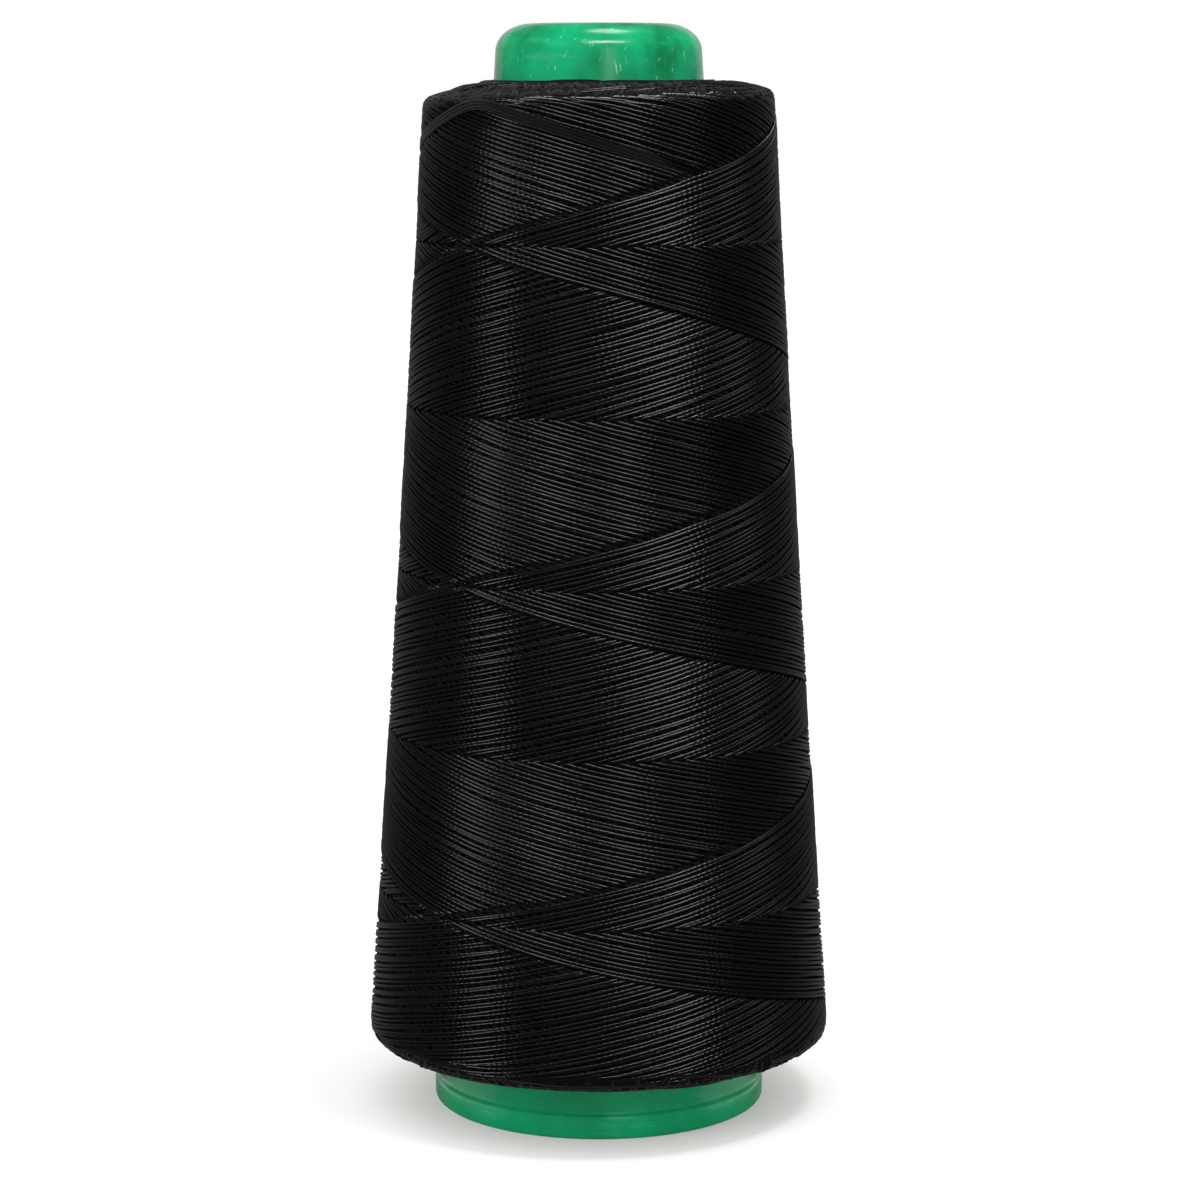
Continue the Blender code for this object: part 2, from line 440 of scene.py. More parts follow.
class Thread:
    """One of the threads that lie side by side in one direction of winding."""

    def __init__(self, rng, direction, number):
        pair = PAIR_SHIFT * (1 if number % 2 else -1) if direction > 0 else 0.0
        shift = pair + rng.normal(0.0, SPACING_JITTER)
        half = 0.5 if direction < 0 else 0.0
        self.direction = direction
        self.age = ((number + half + shift) / THREADS) % 1.0
        self.depth = abs(rng.normal(0.0, DEPTH_JITTER))
        self.waves = rng.uniform(*WAVES_PER_TURN, WOBBLE_WAVES)
        self.phases = rng.uniform(0.0, TAU, WOBBLE_WAVES)
        self.limits = [
            (SIDE_BOTTOM - rng.uniform(*TURN_REACH), SIDE_TOP + rng.uniform(*TURN_REACH))
            for _ in CROSSING_LINES
        ]

    def angle(self, way):
        return CROSSING_ANGLE + TAU * (self.age + self.direction * turns_at(way))

    def wobble(self, angle):
        total = np.zeros_like(angle)
        for wave, phase in zip(self.waves, self.phases):
            total += np.sin(wave * angle + phase)
        return WOBBLE * total / WOBBLE_WAVES

    def cover_age(self, way):
        """Age of the threads of the other direction that lie over this one."""
        return (self.age + self.direction * 2.0 * turns_at(way)) % 1.0


def run_distances(length, step, lead_in, lead_out, fine):
    """Distances from the start of a run, closer together where it dips at its two ends."""
    if not fine or length < LEAST_FINE_RUN:
        spacing = FINE_STEP if fine else step
        count = max(LEAST_POINTS, int((length + lead_in + lead_out) / spacing) + 1)
        return np.linspace(-lead_in, length + lead_out, count)
    head = np.linspace(-lead_in, FINE_STRETCH, int((FINE_STRETCH + lead_in) / FINE_STEP) + 1)
    tail = np.linspace(
        length - FINE_STRETCH,
        length + lead_out,
        int((FINE_STRETCH + lead_out) / FINE_STEP) + 1,
    )
    count = max(1, int(round((tail[0] - head[-1]) / step)))
    middle = np.linspace(head[-1], tail[0], count + 1)[1:-1]
    return np.concatenate((head, middle, tail))


def run_ways(surface, start, end, step, lead_in, lead_out, fine):
    """Ways along one run between two ways, with the distances from both of its ends."""
    middle = surface.radius((start + end) / 2.0)
    slant = math.hypot(1.0, TAU * middle / LEAD)
    length = abs(end - start) * slant
    distance = run_distances(length, step, lead_in, lead_out, fine)
    way = start + math.copysign(1.0, end - start) * distance / slant
    return way, distance, length - distance


def last_turn_way(angle):
    """Way of the middle thread of the last turn, which climbs, bends at its peak and falls."""
    from_peak = np.degrees(angle) - LAST_TURN_ANGLE
    bend = LAST_TURN_CLIMB * from_peak / LAST_TURN_ROUND
    return LAST_TURN_PEAK - LAST_TURN_ROUND * np.logaddexp(bend, -bend)


def pressed_in(way, angle):
    """How far the other threads lie deeper under the last turn, and in the hollow at its bend."""
    turned = np.remainder(angle + math.pi, TAU) - math.pi
    across = (turned - math.radians(LAST_TURN_ANGLE)) / math.radians(HOLLOW_HALF_WIDTH)
    upward = (way - LAST_TURN_PEAK + HOLLOW_BELOW_PEAK) / HOLLOW_HALF_HEIGHT
    hollow = HOLLOW_DEPTH * np.exp(-(across**2) - upward**2)
    below = np.abs(way - last_turn_way(turned)) / LAST_TURN_HALF_WIDTH
    inside = (turned > math.radians(LAST_TURN_START)) & (turned < math.radians(LAST_TURN_END))
    return hollow + LAST_TURN_PRESS * np.exp(-(below**4)) * inside


def upper_run(surface, thread, line, limits):
    """A thread from a crossing line to the ledge, where the other direction's newest covers it."""
    reach = 2.0 * TURN_SOFTNESS
    inside = (limits[0] - reach, limits[1] + reach)
    start = np.clip(crossing_way(line), *inside)
    end = np.clip(crossing_way(line + thread.direction * (1.0 - thread.age)), *inside)
    if abs(end - start) < FINE_STEP:
        return None
    way, from_start, from_end = run_ways(
        surface, start, end, THREAD_STEP, CROSSING_DIP_BEFORE, LEDGE_OVERLAP, True
    )
    angle = thread.angle(way)
    dip_span = CROSSING_DIP_BEFORE + CROSSING_DIP_AFTER
    dip = CROSSING_DIP * (1.0 - smooth((from_start + CROSSING_DIP_BEFORE) / dip_span))
    ledge_dip = max(LEAST_LEDGE_DIP, 2.0 * THREAD_RADIUS - LAYER_RELIEF * thread.age)
    dip += ledge_dip * (1.0 - smooth(from_end / LEDGE_DIP_BEFORE))
    depth = THREAD_RADIUS + thread.depth + LAYER_RELIEF * thread.age + dip
    way = soft_limit(way + thread.wobble(angle), *limits)
    return surface.points(way, angle, depth + pressed_in(way, angle))


def lower_run(surface, thread, line, limits):
    """The same thread where it lies under the threads of the other direction."""
    start = np.clip(crossing_way(line + thread.direction * (1.0 - thread.age)), *limits)
    end = np.clip(crossing_way(line + thread.direction), *limits)
    if abs(end - start) < FINE_STEP:
        return None
    way, _, _ = run_ways(surface, start, end, LOWER_STEP, 0.0, 0.0, False)
    angle = thread.angle(way)
    depth = LOWER_DEPTH + LAYER_RELIEF * thread.cover_age(way)
    way = soft_limit(way + thread.wobble(angle), *limits)
    return surface.points(way, angle, depth + pressed_in(way, angle))


def family_runs(surface, threads, make_run):
    """The runs that these threads make from each crossing line."""
    runs = []
    for thread in threads:
        for line, limits in zip(CROSSING_LINES, thread.limits):
            run = make_run(surface, thread, line, limits)
            if run is not None:
                runs.append(run)
    return runs


def last_turn_runs(surface):
    """The three threads that climb to the top edge, turn there and go down over all others."""
    angle = np.radians(np.arange(LAST_TURN_START, LAST_TURN_END, LAST_TURN_STEP))
    share = np.linspace(0.0, 1.0, len(angle))
    first_eighth = smooth(1.0 - 8.0 * share)
    last_eighth = smooth(8.0 * share - 7.0)
    depth = LAST_TURN_DEPTH + LAST_TURN_TUCK * (first_eighth + last_eighth)
    way = last_turn_way(angle)
    return [surface.points(way + offset, angle, depth) for offset in LAST_TURN_OFFSETS]


def end_runs(surface, rng, upper):
    """Level turns of older threads over the upper or lower rounded edge and its end face."""
    inward = 1.0 if upper else -1.0
    first = (SIDE_TOP if upper else SIDE_BOTTOM) + inward * END_TURN_START
    last = surface.way[-1 if upper else 0] - inward * END_TURN_STOP
    runs = []
    for place in np.arange(0.0, abs(last - first), END_TURN_PITCH):
        around = TAU * surface.radius(first + inward * place)
        count = int(around / END_TURN_LENGTH * END_TURN_OVERLAP)
        for number in range(count):
            length = END_TURN_LENGTH * rng.uniform(*END_TURN_LENGTHS)
            points = max(END_TURN_POINTS, int(length / END_TURN_STEP))
            share = np.linspace(-1.0, 1.0, points)
            middle = TAU * (number + rng.uniform(0.0, 1.0)) / count
            angle = middle + math.pi * length / around * share
            slant = rng.normal(0.0, END_TURN_SLANT) * length / 2.0 * share
            bow = rng.uniform(*END_TURN_BOW) * share**2
            way = first + inward * (place + rng.normal(0.0, END_TURN_JITTER) + bow) + slant
            way = np.clip(way, surface.way[0] + END_TURN_MARGIN, surface.way[-1] - END_TURN_MARGIN)
            depth = THREAD_RADIUS + rng.uniform(0.0, END_TURN_SINK) + END_TURN_TUCK * share**4
            runs.append(surface.points(way, angle, depth))
    return runs


def edge_stroke_runs(surface, rng, upper):
    """Short steep strokes of thread over the upper or lower end, where threads turn back."""
    inward = 1.0 if upper else -1.0
    edge = SIDE_TOP if upper else SIDE_BOTTOM
    share = np.linspace(-1.0, 1.0, STROKE_POINTS)
    runs = []
    for count, past_edge, usual_length in UPPER_STROKES if upper else LOWER_STROKES:
        for number in range(count):
            middle = edge + inward * (past_edge + rng.uniform(*STROKE_SHIFT))
            length = usual_length * rng.uniform(*STROKE_LENGTHS)
            way = middle + inward * length / 2.0 * share
            lean = rng.uniform(-STROKE_LEAN, STROKE_LEAN) * length / surface.radius(middle)
            place = number + rng.uniform(-STROKE_SPREAD, STROKE_SPREAD)
            angle = TAU * place / count + lean * share
            depth = THREAD_RADIUS + rng.uniform(-STROKE_DEPTH_JITTER, STROKE_DEPTH_JITTER)
            runs.append(surface.points(way, angle, depth + STROKE_TUCK * share**4))
    return runs


def shoulder_turn_runs(surface):
    """Loose turns that lie over the others on the upper end."""
    runs = []
    share = np.linspace(0.0, 1.0, SHOULDER_TURN_POINTS)
    for start_angle, start_way, end_angle, end_way in SHOULDER_TURNS:
        angle = np.radians(start_angle + (end_angle - start_angle) * share)
        way = start_way + (end_way - start_way) * smooth(share)
        depth = SHOULDER_TURN_DEPTH + SHOULDER_TURN_TUCK * (2.0 * share - 1.0) ** 8
        runs.append(surface.points(way, angle, depth))
    return runs


# ---------------------------------------------------------------- tubes by geometry nodes


def add_node(tree, kind, inputs=None, **settings):
    node = tree.nodes.new(kind)
    for name, value in settings.items():
        setattr(node, name, value)
    for name, value in (inputs or {}).items():
        socket = node.inputs[name]
        if isinstance(value, bpy.types.NodeSocket):
            tree.links.new(value, socket)
        else:
            socket.default_value = value
    return node


def store(tree, geometry, name, value, domain, data_type="FLOAT"):
    inputs = {"Geometry": geometry, "Name": name, "Value": value}
    kind = "GeometryNodeStoreNamedAttribute"
    node = add_node(tree, kind, inputs, data_type=data_type, domain=domain)
    return node.outputs["Geometry"]


def named(tree, name):
    kind = "GeometryNodeInputNamedAttribute"
    return add_node(tree, kind, {"Name": name}, data_type="FLOAT").outputs[0]


def uneven_thickness(tree, unevenness, seed):
    """A factor near one, different for each thread."""
    least = add_node(tree, "ShaderNodeMath", {0: 1.0, 1: unevenness}, operation="SUBTRACT")
    most = add_node(tree, "ShaderNodeMath", {0: 1.0, 1: unevenness}, operation="ADD")
    number = add_node(tree, "GeometryNodeInputIndex")
    inputs = {2: least.outputs[0], 3: most.outputs[0], "ID": number.outputs[0], "Seed": seed}
    factor = add_node(tree, "FunctionNodeRandomValue", inputs, data_type="FLOAT")
    kind = "GeometryNodeFieldOnDomain"
    inputs = {0: factor.outputs[1]}
    return add_node(tree, kind, inputs, data_type="FLOAT", domain="CURVE").outputs[0]


THREAD_TREE_INPUTS = {
    "Geometry": "NodeSocketGeometry",
    "Thread radius": "NodeSocketFloat",
    "Sides": "NodeSocketInt",
    "Unevenness": "NodeSocketFloat",
    "Seed": "NodeSocketInt",
    "Material": "NodeSocketMaterial",
}


def thread_tree():
    """Tubes of thread along the edges of a mesh, with a map round (0 to 1) and along (metres)."""
    tree = bpy.data.node_groups.new("thread_along_paths", "GeometryNodeTree")
    for name, kind in THREAD_TREE_INPUTS.items():
        tree.interface.new_socket(name, in_out="INPUT", socket_type=kind)
    tree.interface.new_socket("Geometry", in_out="OUTPUT", socket_type="NodeSocketGeometry")
    given = tree.nodes.new("NodeGroupInput").outputs
    result = tree.nodes.new("NodeGroupOutput")

    curves = add_node(tree, "GeometryNodeMeshToCurve", {"Mesh": given["Geometry"]})
    length = add_node(tree, "GeometryNodeSplineParameter").outputs["Length"]
    paths = store(tree, curves.outputs["Curve"], "along", length, "POINT")

    size = {"Resolution": given["Sides"], "Radius": given["Thread radius"]}
    circle = add_node(tree, "GeometryNodeCurvePrimitiveCircle", size, mode="RADIUS")
    share = add_node(tree, "GeometryNodeSplineParameter").outputs["Factor"]
    ring = store(tree, circle.outputs["Curve"], "around", share, "POINT")
    half_turn = {"Geometry": ring, "Rotation": (0.0, 0.0, math.pi)}
    seam_inside = add_node(tree, "GeometryNodeTransform", half_turn).outputs["Geometry"]

    thickness = uneven_thickness(tree, given["Unevenness"], given["Seed"])
    sweep = {"Curve": paths, "Profile Curve": seam_inside, "Scale": thickness, "Fill Caps": True}
    tubes = add_node(tree, "GeometryNodeCurveToMesh", sweep)
    place = {"X": named(tree, "around"), "Y": named(tree, "along")}
    both = add_node(tree, "ShaderNodeCombineXYZ", place).outputs[0]
    mapped = store(tree, tubes.outputs["Mesh"], "UVMap", both, "CORNER", "FLOAT2")
    smoothed = add_node(tree, "GeometryNodeSetShadeSmooth", {0: mapped})
    whole = add_node(tree, "GeometryNodeRealizeInstances", {0: smoothed.outputs[0]})
    finish = {"Geometry": whole.outputs[0], "Material": given["Material"]}
    coloured = add_node(tree, "GeometryNodeSetMaterial", finish)
    tree.links.new(coloured.outputs["Geometry"], result.inputs["Geometry"])
    return tree


def path_mesh(name, runs):
    """A mesh of open polylines, one for each run."""
    points = np.vstack(runs)
    edges = []
    first = 0
    for run in runs:
        numbers = np.arange(first, first + len(run) - 1)
        edges.append(np.column_stack((numbers, numbers + 1)))
        first += len(run)
    edges = np.vstack(edges)
    mesh = bpy.data.meshes.new(name)
    mesh.vertices.add(len(points))
    mesh.vertices.foreach_set("co", points.astype(np.float32).ravel())
    mesh.edges.add(len(edges))
    mesh.edges.foreach_set("vertices", edges.astype(np.int32).ravel())
    mesh.update()
    return mesh


def link(obj):
    bpy.context.scene.collection.objects.link(obj)
    return obj


def thread_piece(name, runs, tree, material, sides):
    """A piece of thread tubes along runs: the node tree's result as a plain mesh."""
    paths = link(bpy.data.objects.new(name + "_paths", path_mesh(name + "_paths", runs)))
    maker = paths.modifiers.new("Threads", "NODES")
    maker.node_group = tree
    values = {
        "Thread radius": THREAD_RADIUS,
        "Sides": sides,
        "Unevenness": THREAD_UNEVENNESS,
        "Seed": SEED,
        "Material": material,
    }
    for item in tree.interface.items_tree:
        if item.in_out == "INPUT" and item.name in values:
            maker[item.identifier] = values[item.name]
    graph = bpy.context.evaluated_depsgraph_get()
    mesh = bpy.data.meshes.new_from_object(paths.evaluated_get(graph), depsgraph=graph)
    mesh.name = name
    paths.modifiers.remove(maker)
    bpy.data.objects.remove(paths)
    return link(bpy.data.objects.new(name, mesh))


# ---------------------------------------------------------------- turned pieces


def turned_piece(name, section, steps, material, rise=0.0):
    """A closed section (radius, height), listed down its outer side first, turned round the axis.

    With a rise for each point the piece leans up to the right and down to the left.
    """
    section = np.asarray(section)
    count = len(section)
    angles = np.arange(steps) * TAU / steps
    radius = section[:, 0][None, :]
    points = np.stack(
        (
            radius * np.cos(angles)[:, None],
            radius * np.sin(angles)[:, None],
            section[:, 1][None, :] + rise * np.cos(angles)[:, None],
        ),
        axis=2,
    ).reshape(-1, 3)
    faces = []
    for step in range(steps):
        here = step * count
        there = ((step + 1) % steps) * count
        for index in range(count):
            following = (index + 1) % count
            faces.append((here + index, here + following, there + following, there + index))
    mesh = bpy.data.meshes.new(name)
    mesh.from_pydata(points.tolist(), [], faces)
    mesh.materials.append(material)
    mesh.shade_smooth()
    mesh.set_sharp_from_angle(angle=SHARP_ANGLE)
    return link(bpy.data.objects.new(name, mesh))


def plastic_section():
    """Closed section of the hollow cone, from its crest down the outside and up the inside."""
    round_height = CONE_HEIGHT - LIP_ROUND
    crest_radius = cone_radius(round_height) - LIP_ROUND
    inner_round = LIP_ROUND - LIP_THICKNESS
    hole_round = LIP_THICKNESS / 2.0
    hole_radius = LIP_HOLE_RADIUS + hole_round
    crown = arc(0.0, 0.0, 1.0, 90.0, 0.0, CROWN_STEPS) * (LIP_CROWN, LIP_ROUND)
    crown += (cone_radius(round_height) - LIP_CROWN, round_height)
    foot_step = [
        (cone_radius(FOOT_HEIGHT + 0.40 * MM), FOOT_HEIGHT + 0.40 * MM),
        (cone_radius(FOOT_HEIGHT) + 0.04 * MM, FOOT_HEIGHT + 0.08 * MM),
        (FOOT_RADIUS - 0.14 * MM, FOOT_HEIGHT - 0.12 * MM),
        (FOOT_RADIUS - 0.04 * MM, FOOT_HEIGHT - 0.38 * MM),
        (FOOT_RADIUS, FOOT_HEIGHT - 0.80 * MM),
    ]
    wall_heights = np.linspace(round_height, WALL_END, WALL_POINTS)[1:]
    wall = np.column_stack((cone_radius(wall_heights), wall_heights))
    inner_rim_radius = CONE_BASE_RADIUS - CONE_WALL + RIM_ROUND
    return np.vstack(
        (
            crown,
            wall,
            foot_step,
            arc(FOOT_RADIUS - FOOT_ROUND, FOOT_ROUND, FOOT_ROUND, 0.0, -90.0, FOOT_STEPS),
            arc(inner_rim_radius, RIM_ROUND, RIM_ROUND, 270.0, 180.0, RIM_STEPS),
            arc(crest_radius, round_height, inner_round, 0.0, 90.0, LIP_STEPS),
            arc(hole_radius, CONE_HEIGHT - hole_round, hole_round, 270.0, 90.0, HOLE_STEPS),
        )
    )


def bed_section(surface):
    """Section of the wound body under the outer threads, down its outer side, with its rise."""
    past_end = np.maximum(surface.way - SIDE_TOP, SIDE_BOTTOM - surface.way)
    depth = BED_DEPTH + (BED_END_DEPTH - BED_DEPTH) * smooth(past_end / BED_DEPTH)
    sunk = surface.section - depth[:, None] * surface.outward
    outside = sunk[::-1]
    top = outside[0, 1]
    bottom = outside[-1, 1]
    bore = [
        (cone_radius(bottom) + CORE_GAP, bottom),
        (cone_radius(top) + CORE_GAP, top),
    ]
    rise = np.concatenate((surface.lean(surface.way)[::-1][1:-1], (0.0, 0.0)))
    return np.vstack((outside[1:-1], bore)), rise[None, :]


# ---------------------------------------------------------------- materials


def new_material(name):
    material = bpy.data.materials.new(name)
    material.use_nodes = True
    tree = material.node_tree
    return material, tree, tree.nodes["Principled BSDF"]


def colour_ramp(tree, factor, stops):
    ramp = add_node(tree, "ShaderNodeValToRGB", {"Fac": factor})
    elements = ramp.color_ramp.elements
    while len(elements) < len(stops):
        elements.new(0.5)
    for element, (position, colour) in zip(elements, stops):
        element.position = position
        element.color = (*colour, 1.0)
    return ramp.outputs["Color"]


def noise(tree, place, waves, detail=2.0, roughness=0.5):
    """Noise over a place, with this many waves to the metre along each axis."""
    stretched = add_node(tree, "ShaderNodeMapping", {"Vector": place, "Scale": waves})
    inputs = {
        "Vector": stretched.outputs[0],
        "Scale": 1.0,
        "Detail": detail,
        "Roughness": roughness,
    }
    return add_node(tree, "ShaderNodeTexNoise", inputs).outputs["Fac"]


def spread(tree, value, low, high, to_low=0.0, to_high=1.0):
    """A value's way from low to high, as a number from to_low to to_high."""
    inputs = {
        "Value": value,
        "From Min": low,
        "From Max": high,
        "To Min": to_low,
        "To Max": to_high,
    }
    return add_node(tree, "ShaderNodeMapRange", inputs).outputs["Result"]


def math_node(tree, operation, first, second=0.0, third=None):
    inputs = {0: first, 1: second}
    if third is not None:
        inputs[2] = third
    return add_node(tree, "ShaderNodeMath", inputs, operation=operation).outputs[0]


def mixed(tree, factor, first, second):
    node = add_node(tree, "ShaderNodeMix", {"Factor": factor}, data_type="RGBA")
    for socket, value in ((node.inputs[6], first), (node.inputs[7], second)):
        if isinstance(value, bpy.types.NodeSocket):
            tree.links.new(value, socket)
        else:
            socket.default_value = (*value, 1.0)
    return node.outputs[2]


def raised(tree, shader, height, strength, distance):
    inputs = {"Height": height, "Strength": strength, "Distance": distance}
    bump = add_node(tree, "ShaderNodeBump", inputs)
    tree.links.new(bump.outputs["Normal"], shader.inputs["Normal"])


def black_thread_material(name, roughness, gloss, fuzz):
    """Twisted plies of black fibre, by the map round and along each thread."""
    material, tree, shader = new_material(name)
    mapped = add_node(tree, "ShaderNodeUVMap", uv_map="UVMap")
    parts = add_node(tree, "ShaderNodeSeparateXYZ", {0: mapped.outputs["UV"]})
    lay = math_node(tree, "MULTIPLY_ADD", parts.outputs["Y"], 1.0 / PLY_PITCH, parts.outputs["X"])
    plies = math_node(tree, "SINE", math_node(tree, "MULTIPLY", lay, TAU))
    place = add_node(tree, "ShaderNodeTexCoord").outputs["Object"]
    fibres = noise(tree, place, FIBRE_WAVES)
    height = math_node(tree, "MULTIPLY_ADD", fibres, FIBRE_SHARE, plies)
    raised(tree, shader, height, PLY_STRENGTH, PLY_RELIEF)
    patches = noise(tree, place, PATCH_WAVES, detail=4.0)
    tree.links.new(colour_ramp(tree, patches, THREAD_BLACKS), shader.inputs["Base Color"])
    shader.inputs["Roughness"].default_value = roughness
    shader.inputs["Specular IOR Level"].default_value = gloss
    shader.inputs["Sheen Weight"].default_value = fuzz
    shader.inputs["Sheen Roughness"].default_value = FUZZ_ROUGHNESS
    return material


def inner_thread_material():
    """Dark packed thread deep between the outer threads."""
    material, tree, shader = new_material("inner_thread")
    place = add_node(tree, "ShaderNodeTexCoord").outputs["Object"]
    streaks = noise(tree, place, STREAK_WAVES)
    raised(tree, shader, streaks, STREAK_STRENGTH, STREAK_RELIEF)
    tree.links.new(colour_ramp(tree, streaks, INNER_BLACKS), shader.inputs["Base Color"])
    shader.inputs["Roughness"].default_value = INNER_ROUGHNESS
    shader.inputs["Specular IOR Level"].default_value = INNER_GLOSS
    return material


def flecks(tree, place, cells_to_metre, size, share):
    """Round flecks in a share of the cells of an uneven grid, sized in parts of a cell."""
    inputs = {"Vector": place, "Scale": cells_to_metre, "Randomness": 1.0}
    cells = add_node(tree, "ShaderNodeTexVoronoi", inputs, feature="F1")
    near = spread(tree, cells.outputs["Distance"], size, size * 0.5)
    chosen = add_node(tree, "ShaderNodeSeparateColor", {"Color": cells.outputs["Color"]})
    some = math_node(tree, "LESS_THAN", chosen.outputs["Red"], share)
    return math_node(tree, "MULTIPLY", near, some)


def scratches(tree, place, lean, waves, low, high):
    """Short thin lines, leaning this far from upright as seen from the front."""
    turned = add_node(tree, "ShaderNodeMapping", {"Vector": place, "Rotation": (0.0, lean, 0.0)})
    return spread(tree, noise(tree, turned.outputs[0], waves), low, high)


def plastic_marks(tree, place, height, at_top):
    """Flecks, lint and scratches as one pattern from 0 to 1, stronger at the top."""
    few = math_node(tree, "MULTIPLY", spread(tree, height, *FLECK_BAND), at_top)
    pale = flecks(tree, place, FLECK_CELLS, FLECK_SIZE, few)
    many = math_node(tree, "MULTIPLY", spread(tree, height, *LINT_BAND), at_top)
    inputs = {"Vector": place, "Rotation": (0.0, LINT_LEAN, 0.0), "Scale": LINT_DRAWN_OUT}
    drawn_out = add_node(tree, "ShaderNodeMapping", inputs).outputs[0]
    lint = flecks(tree, drawn_out, LINT_CELLS, LINT_SIZE, many)
    upright = scratches(tree, place, *UPRIGHT_SCRATCHES)
    leaning = scratches(tree, place, *LEANING_SCRATCHES)
    lines = math_node(tree, "MAXIMUM", upright, leaning)
    marks = math_node(tree, "MAXIMUM", lines, math_node(tree, "MAXIMUM", pale, lint))
    strength = math_node(tree, "MULTIPLY_ADD", at_top, MARKS_HIGH - MARKS_LOW, MARKS_LOW)
    return math_node(tree, "MULTIPLY", marks, strength)


def green_plastic_material():
    """Clouded green moulded plastic, with milky smears, pale flecks and scratches, and painted
    shade under the winding.
    """
    material, tree, shader = new_material("green_plastic")
    place = add_node(tree, "ShaderNodeTexCoord").outputs["Object"]
    moved = add_node(tree, "ShaderNodeMapping", {"Vector": place, "Location": CLOUDS_PLACE})
    clouds = noise(tree, moved.outputs[0], CLOUD_WAVES, detail=3.0, roughness=0.55)
    colour = colour_ramp(tree, clouds, CLOUD_STOPS)
    height = add_node(tree, "ShaderNodeSeparateXYZ", {0: place}).outputs["Z"]
    at_base = spread(tree, height, HIGH_ON_CONE, LOW_ON_CONE, to_high=EVEN_SHARE)
    colour = mixed(tree, at_base, colour, PLASTIC_GREEN)

    smears = noise(tree, place, SMEAR_WAVES, detail=5.0, roughness=0.6)
    milky = spread(tree, smears, *SMEAR_LEVELS, to_high=SMEAR_SHARE)
    colour = mixed(tree, milky, colour, PLASTIC_MILKY)
    # Painted shade: the wall just above the foot band, under the winding's overhang, is mixed
    # towards the dark green
    painted_shade = math_node(tree, "MULTIPLY", at_base, spread(tree, height, *PAINTED_SHADE_EDGE))
    painted_shade = math_node(tree, "MULTIPLY", painted_shade, PAINTED_SHADE_SHARE)
    colour = mixed(tree, painted_shade, colour, PLASTIC_DARK)
    at_top = spread(tree, height, LOW_ON_CONE, HIGH_ON_CONE)
    marks = plastic_marks(tree, place, height, at_top)
    colour = mixed(tree, marks, colour, PLASTIC_SCRATCH)
    tree.links.new(colour, shader.inputs["Base Color"])

    grain = noise(tree, place, GRAIN_WAVES, detail=4.0, roughness=0.6)
    fine = spread(tree, grain, *GRAIN_LEVELS)
    rough = math_node(tree, "MULTIPLY_ADD", milky, SMEAR_ROUGHNESS, fine)
    tree.links.new(rough, shader.inputs["Roughness"])
    turned_lines = noise(tree, place, TURNED_WAVES, detail=3.0)
    relief = math_node(tree, "MULTIPLY_ADD", turned_lines, TURNED_SHARE, grain)
    relief = math_node(tree, "MULTIPLY_ADD", marks, MARK_SHARE, relief)
    raised(tree, shader, relief, PLASTIC_STRENGTH, PLASTIC_RELIEF)
    shader.inputs["Sheen Weight"].default_value = PLASTIC_SHEEN
    shader.inputs["Sheen Roughness"].default_value = PLASTIC_SHEEN_ROUGHNESS
    return material


def floor_material():
    """A pale floor that glows a little, so that the shadow on it stays soft."""
    material, _, shader = new_material("pale_floor")
    shader.inputs["Base Color"].default_value = (*FLOOR_WHITE, 1.0)
    shader.inputs["Emission Color"].default_value = (*FLOOR_GLOW, 1.0)
    shader.inputs["Emission Strength"].default_value = 1.0
    shader.inputs["Roughness"].default_value = FLOOR_ROUGHNESS
    shader.inputs["Specular IOR Level"].default_value = 0.0
    return material


# ---------------------------------------------------------------- stage


def add_camera():
    camera = bpy.data.cameras.new("camera")
    camera.sensor_width = SENSOR_WIDTH
    camera.lens = SENSOR_WIDTH * FOCAL_PIXELS / FRAME_PIXELS
    camera.clip_start = CLIP_START
    camera.clip_end = CLIP_END
    pitch = math.atan2(FRAME_PIXELS / 2.0 - HORIZON_ROW, FOCAL_PIXELS)
    sideways = (FRAME_PIXELS / 2.0 - AXIS_COLUMN) * CAMERA_DISTANCE / FOCAL_PIXELS
    obj = link(bpy.data.objects.new("camera", camera))
    obj.location = (sideways, -CAMERA_DISTANCE, CAMERA_HEIGHT)
    obj.rotation_euler = (math.pi / 2.0 - pitch, 0.0, 0.0)
    bpy.context.scene.camera = obj


def add_floor():
    mesh = bpy.data.meshes.new("floor")
    signs = ((-1, -1), (1, -1), (1, 1), (-1, 1))
    corners = [(east * FLOOR_REACH, north * FLOOR_REACH, 0.0) for east, north in signs]
    mesh.from_pydata(corners, [], [(0, 1, 2, 3)])
    mesh.materials.append(floor_material())
    floor = link(bpy.data.objects.new("floor", mesh))
    floor.visible_glossy = False
    floor.visible_shadow = False


def lit_objects(name, groups):
    """A collection of the meshes named after these groups, for a light to shine on."""
    lit = bpy.data.collections.new(name)
    for obj in bpy.context.scene.objects:
        if obj.type == "MESH" and any(group in obj.name for group in groups):
            lit.objects.link(obj)
    return lit


def add_soft_light(name, direction, distance, size, radiance, groups):
    """A rectangular soft light of this brightness, in a direction from the object's middle."""
    width, depth = size
    light = bpy.data.lights.new(name, "AREA")
    light.shape = "RECTANGLE"
    light.size = width
    light.size_y = depth
    light.energy = radiance * math.pi * width * depth
    obj = link(bpy.data.objects.new(name, light))
    obj.location = np.add(LIGHT_TARGET, np.multiply(direction, distance))
    east, north, up = direction
    down = math.atan2(math.hypot(east, north), up)
    obj.rotation_euler = (down, 0.0, math.atan2(north, east) + math.pi / 2.0)
    obj.light_linking.receiver_collection = lit_objects(name, groups)
    obj.visible_camera = False


def grey(value):
    return (value, value, value)


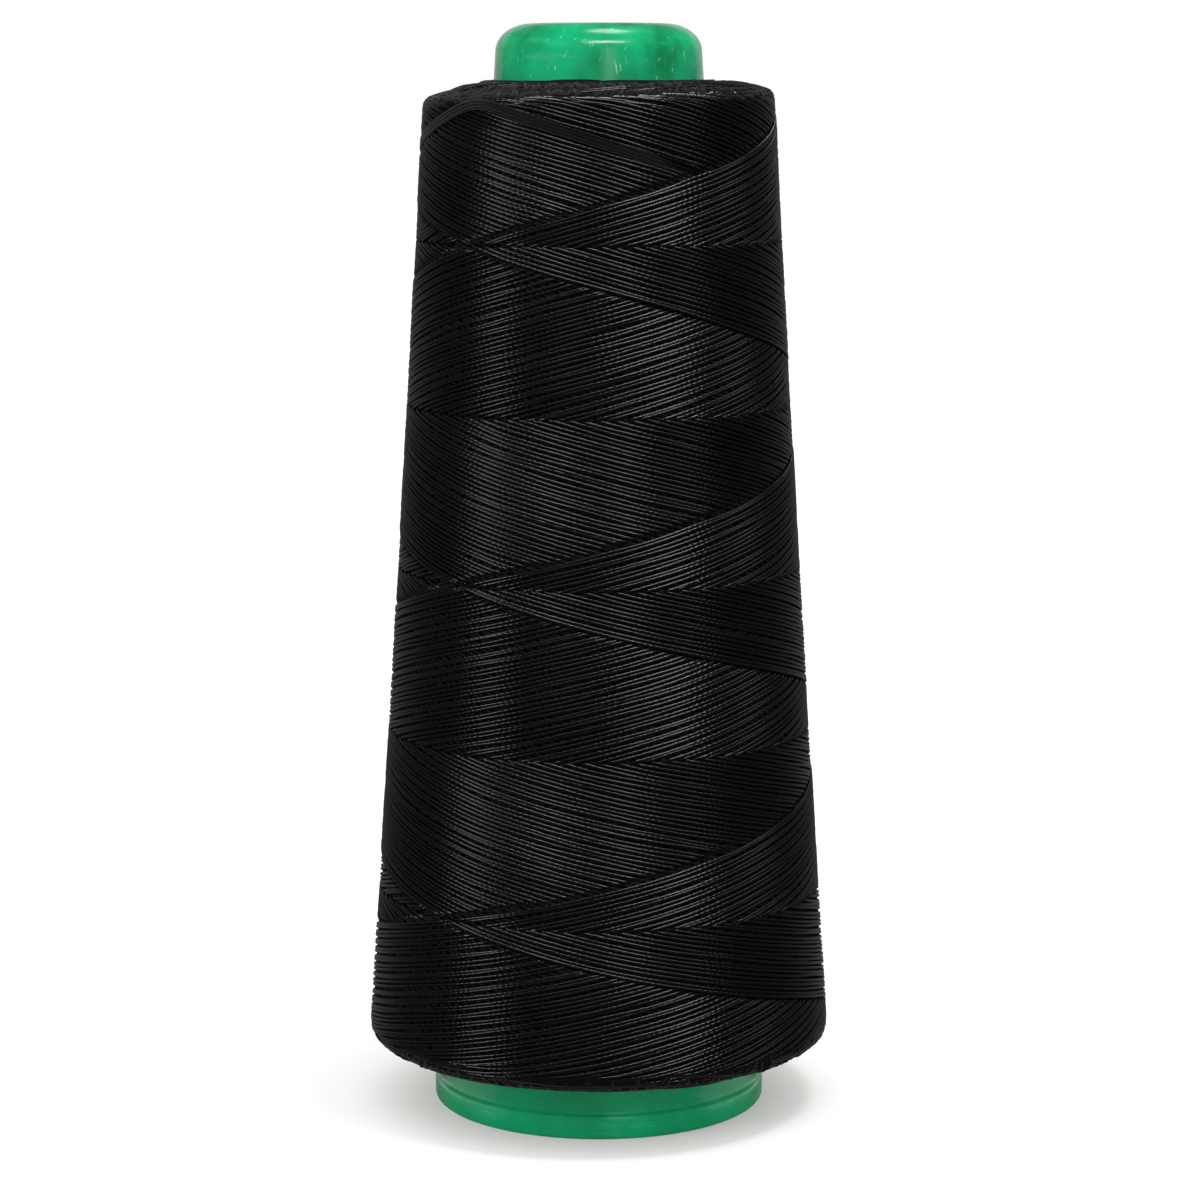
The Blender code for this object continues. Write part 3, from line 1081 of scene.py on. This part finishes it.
def add_world():
    """White behind the object and over the floor, and a dim room for what the object mirrors."""
    world = bpy.data.worlds.new("studio")
    world.use_nodes = True
    tree = world.node_tree
    direction = add_node(tree, "ShaderNodeTexCoord").outputs["Generated"]
    backward = add_node(tree, "ShaderNodeSeparateXYZ", {0: direction}).outputs["Y"]
    behind = spread(tree, backward, *BACKDROP_EDGE)
    mirrored = mixed(tree, behind, grey(MIRRORED_ROOM), grey(MIRRORED_BACKDROP))
    path = add_node(tree, "ShaderNodeLightPath").outputs
    colour = mixed(tree, path["Is Diffuse Ray"], mirrored, grey(ROOM_WHITE))
    colour = mixed(tree, path["Is Camera Ray"], colour, grey(BACKDROP_WHITE))
    tree.links.new(colour, tree.nodes["Background"].inputs["Color"])
    bpy.context.scene.world = world


def add_lights():
    for name, settings in SOFT_LIGHTS.items():
        add_soft_light(name, *settings)
    add_world()
    bpy.context.scene.view_settings.view_transform = "Standard"


# ---------------------------------------------------------------- the whole


def dress(piece, slot, *nodes):
    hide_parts(*nodes)
    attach(piece, "root")


def add_threads(rng, surface):
    thread = black_thread_material("black_thread", *SMOOTH_FINISH)
    chafed = black_thread_material("chafed_thread", *CHAFED_FINISH)
    inner = inner_thread_material()
    tree = thread_tree()
    rising = [Thread(rng, 1, number) for number in range(THREADS)]
    falling = [Thread(rng, -1, number) for number in range(THREADS)]
    lower = family_runs(surface, rising + falling, lower_run)
    ends = last_turn_runs(surface)
    turns = shoulder_turn_runs(surface)
    for upper in (True, False):
        ends += end_runs(surface, rng, upper)
        ends += edge_stroke_runs(surface, rng, upper)
    pieces = {
        "rising_threads": (family_runs(surface, rising, upper_run), THREAD_SIDES, thread),
        "falling_threads": (family_runs(surface, falling, upper_run), THREAD_SIDES, thread),
        "lower_threads": (lower, LOWER_SIDES, inner),
        "end_threads": (ends, LOWER_SIDES, chafed),
        "turning_threads": (turns, LOWER_SIDES, thread),
    }
    for name, (runs, sides, material) in pieces.items():
        dress(thread_piece(name, runs, tree, material, sides), "black_thread", "winding")
    section, rise = bed_section(surface)
    bed = turned_piece("thread_bed", section, BED_STEPS, inner, rise)
    dress(bed, "black_thread", "winding")


def add_plastic_cone():
    plastic = turned_piece("plastic_cone", plastic_section(), CONE_STEPS, green_plastic_material())
    dress(plastic, "green_plastic", "core")


def main():
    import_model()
    add_camera()
    add_threads(np.random.default_rng(SEED), PackageSurface())
    add_plastic_cone()
    add_floor()
    add_lights()


main()
